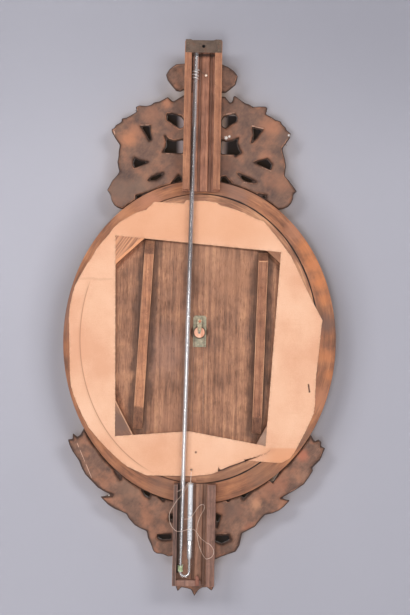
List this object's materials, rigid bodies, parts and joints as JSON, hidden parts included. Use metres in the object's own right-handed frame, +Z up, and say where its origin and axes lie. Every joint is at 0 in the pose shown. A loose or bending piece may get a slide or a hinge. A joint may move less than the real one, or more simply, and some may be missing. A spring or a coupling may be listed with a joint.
{
  "type": "wall barometer",
  "caption": "Oval carved giltwood wheel barometer with a siphon mercury tube, float, pulley and dial hand, hung from an iron plate at its back.",
  "frame": {"origin": "centre of the hanging hole, in the plane of the wall", "axes": "+Z up along the channel, +Y into the wall, the dial faces -Y, and +X is the left of the back view"},
  "size_m": [0.502, 0.078, 1.0218],
  "materials": {
    "old_iron": "aged, brown-grey",
    "rail_wood": "bare, aged orange-brown",
    "back_wood": "bare, aged brown",
    "board_wood": "bare pine, reddish brown",
    "red_wood": "reddish stain",
    "boxwood": "turned, satin",
    "gilt_wood": "gilded gesso, worn",
    "backing_paper": "old laid paper, torn",
    "dial_paper": "printed scale",
    "old_brass": "dull, greenish",
    "blued_steel": "blued",
    "clear_glass": "old clear glass",
    "mercury": "liquid metal",
    "pale_thread": "waxed silk",
    "green_thread": "twisted thread"
  },
  "bodies": {
    "case": {"hanging_plate": "old_iron", "hanging_plate_nails": "old_iron", "upper_rail_left": "rail_wood", "upper_rail_right": "rail_wood", "upper_channel_floor": "back_wood", "crest_carving": "gilt_wood", "crest_top": "gilt_wood", "outer_ring": "gilt_wood", "inner_ring": "back_wood", "sight_moulding": "gilt_wood", "pearl_beading": "gilt_wood", "dial_board": "board_wood", "batten_left": "rail_wood", "batten_right": "rail_wood", "dust_paper": "backing_paper", "pivot_plate": "old_brass", "plate_pins": "old_brass", "pivot_cock": "old_brass", "cock_screw": "old_brass", "arbor_bush": "old_brass", "dial_face": "dial_paper", "sight_slip": "gilt_wood", "dial_glass": "clear_glass", "lower_rail_left": "back_wood", "lower_rail_right": "back_wood", "lower_channel_floor": "back_wood", "apron_carving": "gilt_wood", "apron_pendant": "gilt_wood", "foot_block": "back_wood", "foot_wedge": "red_wood", "barometer_tube": "clear_glass", "mercury_column": "mercury", "tube_wire_tie": "old_brass", "tie_nail": "old_iron", "thread_tie": "green_thread", "pulley_thread": "pale_thread", "loose_thread": "pale_thread", "thread_tail": "pale_thread"},
    "pointer": {"pulley": "boxwood", "arbor": "blued_steel", "indicator_hand": "blued_steel", "hand_cap": "old_brass"},
    "float_body": {"float_weight": "blued_steel", "float_thread": "pale_thread"},
    "weight_body": {"counterweight": "old_brass", "counterweight_thread": "pale_thread"}
  },
  "joints": [
    {"name": "pointer_turn", "type": "hinge", "parent": "case", "child": "pointer", "pos_m": [-0.0015, -0.056, -0.5215], "axis": [0, -1, 0], "range_deg": [-120, 120]},
    {"name": "float_slide", "type": "slide", "parent": "case", "child": "float_body", "axis": [0, 0, 1], "range_m": [-0.019, 0.019]},
    {"name": "weight_slide", "type": "slide", "parent": "case", "child": "weight_body", "axis": [0, 0, 1], "range_m": [-0.019, 0.019]}
  ],
  "couplings": [
    {"joint": "float_slide", "follows": "pointer_turn", "m_per_rad": 0.0089},
    {"joint": "weight_slide", "follows": "pointer_turn", "m_per_rad": -0.0089}
  ]
}
